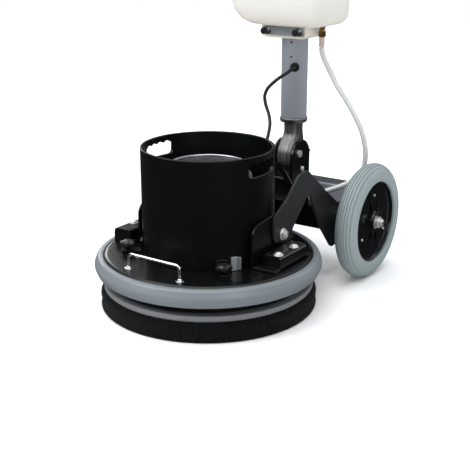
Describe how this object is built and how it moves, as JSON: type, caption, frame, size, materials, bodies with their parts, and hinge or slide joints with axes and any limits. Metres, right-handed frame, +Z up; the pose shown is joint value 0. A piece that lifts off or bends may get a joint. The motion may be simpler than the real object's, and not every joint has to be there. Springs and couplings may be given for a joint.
{
  "type": "high speed burnisher",
  "caption": "Walk-behind floor burnisher: round motor head with bumper and pad, wheeled chassis, tilting handle column with solution tank and trigger handle.",
  "frame": {"origin": "centre of the pad's working face, on the floor", "axes": "+Z up; -Y towards the front of the floor head; +Y towards the wheels and the operator; +X to the machine's right seen from the front with the column behind"},
  "size_m": [0.466, 0.6629, 1.141],
  "materials": {
    "black_paint": "satin black powder coat",
    "grey_paint": "blue-grey paint",
    "grey_rubber": "smooth grey moulded rubber",
    "tyre_rubber": "blue-grey non-marking rubber",
    "pad_fibre": "black non-woven fibre",
    "driver_grey": "grey moulded plastic",
    "chrome": "bright chrome plate",
    "zinc": "zinc-plated sheet",
    "steel": "machined steel",
    "cast_aluminium": "linished casting",
    "stator_iron": "varnished laminations and windings",
    "brass": "machined brass",
    "black_plastic": "fine-textured black plastic",
    "black_rubber": "matt black rubber",
    "white_tank": "translucent white moulded polyethylene",
    "clear_hose": "clear soft vinyl",
    "red_plastic": "red moulded plastic"
  },
  "bodies": {
    "deck": {"deck_plate": "black_paint", "bumper_ring": "grey_rubber", "motor_sleeve": "black_paint", "motor_frame": "grey_paint", "motor_flange": "cast_aluminium", "stator": "stator_iron", "motor_end_bell": "cast_aluminium", "fan_cover": "black_plastic", "bearing_drive_end": "steel", "bearing_fan_end": "steel", "terminal_box": "black_plastic", "lead_gland": "black_rubber", "pull_handle": "chrome", "bracket_left": "black_paint", "bracket_right": "black_paint", "water_inlet": "black_plastic", "pivot_bolt_left": "steel", "pivot_bolt_right": "steel", "lead_lower": "black_rubber", "hose_lower": "clear_hose"},
    "rotor": {"rotor_shaft": "steel", "rotor_core": "steel", "cooling_fan": "black_plastic", "pad_driver": "driver_grey", "floor_pad": "pad_fibre"},
    "chassis": {"side_plate_left": "black_paint", "side_plate_right": "black_paint", "cross_panel": "black_paint", "cross_beam": "black_paint", "step_plate": "grey_paint", "cheek_left": "black_paint", "cheek_right": "black_paint", "axle": "steel", "tilt_pin": "steel", "axle_nut_left": "steel", "axle_nut_right": "steel", "lead_upper": "black_rubber", "hose_upper": "clear_hose"},
    "wheel_left": {"tyre_left": "tyre_rubber", "rim_left": "black_plastic", "bearing_left": "steel"},
    "wheel_right": {"tyre_right": "tyre_rubber", "rim_right": "black_plastic", "bearing_right": "steel"},
    "column": {"column_casting": "cast_aluminium", "column_tube": "grey_paint", "cord_grommet": "black_rubber", "tank_shell": "white_tank", "tank_strap": "zinc", "strap_knob_left": "black_plastic", "strap_knob_right": "black_plastic", "hose_fitting": "brass", "head_housing": "black_plastic", "grip_left": "black_rubber", "grip_right": "black_rubber"},
    "tank_cap": {"tank_cap": "black_plastic"},
    "trigger_left": {"trigger_left": "black_plastic"},
    "trigger_right": {"trigger_right": "black_plastic"},
    "safety_button": {"safety_button": "red_plastic"},
    "tilt_lever": {"tilt_lever": "red_plastic"}
  },
  "joints": [
    {"name": "deck_float", "type": "hinge", "parent": "deck", "child": "chassis", "pos_m": [0, 0.046, 0.153], "axis": [1, 0, 0], "range_deg": [-3, 6], "deforming": ["lead_lower", "hose_lower"]},
    {"name": "handle_tilt", "type": "hinge", "parent": "chassis", "child": "column", "pos_m": [0, 0.3, 0.245], "axis": [-1, 0, 0], "range_deg": [0, 45], "deforming": ["lead_upper", "hose_upper"]},
    {"name": "wheel_left_spin", "type": "hinge", "parent": "chassis", "child": "wheel_left", "pos_m": [-0.197, 0.305, 0.1225], "axis": [1, 0, 0], "continuous": true},
    {"name": "wheel_right_spin", "type": "hinge", "parent": "chassis", "child": "wheel_right", "pos_m": [0.197, 0.305, 0.1225], "axis": [1, 0, 0], "continuous": true},
    {"name": "rotor_spin", "type": "hinge", "parent": "deck", "child": "rotor", "pos_m": [0, 0, 0], "axis": [0, 0, 1], "continuous": true},
    {"name": "cap_lift", "type": "slide", "parent": "column", "child": "tank_cap", "axis": [0, 0, 1], "range_m": [0, 0.04]},
    {"name": "trigger_left_pull", "type": "hinge", "parent": "column", "child": "trigger_left", "pos_m": [-0.145, 0.312, 1.072], "axis": [1, 0, 0], "range_deg": [0, 9], "stiffness_Nm_per_rad": 0.6, "springref_deg": -2.86},
    {"name": "trigger_right_pull", "type": "hinge", "parent": "column", "child": "trigger_right", "pos_m": [0.145, 0.312, 1.072], "axis": [1, 0, 0], "range_deg": [0, 9], "stiffness_Nm_per_rad": 0.6, "springref_deg": -2.86},
    {"name": "safety_button_press", "type": "slide", "parent": "column", "child": "safety_button", "axis": [0, 0, -1], "range_m": [0, 0.005], "stiffness_N_per_m": 400, "springref_m": -0.0005},
    {"name": "tilt_lever_pull", "type": "hinge", "parent": "column", "child": "tilt_lever", "pos_m": [0, 0.376, 1.016], "axis": [1, 0, 0], "range_deg": [0, 12], "stiffness_Nm_per_rad": 0.5, "springref_deg": -2.86}
  ]
}
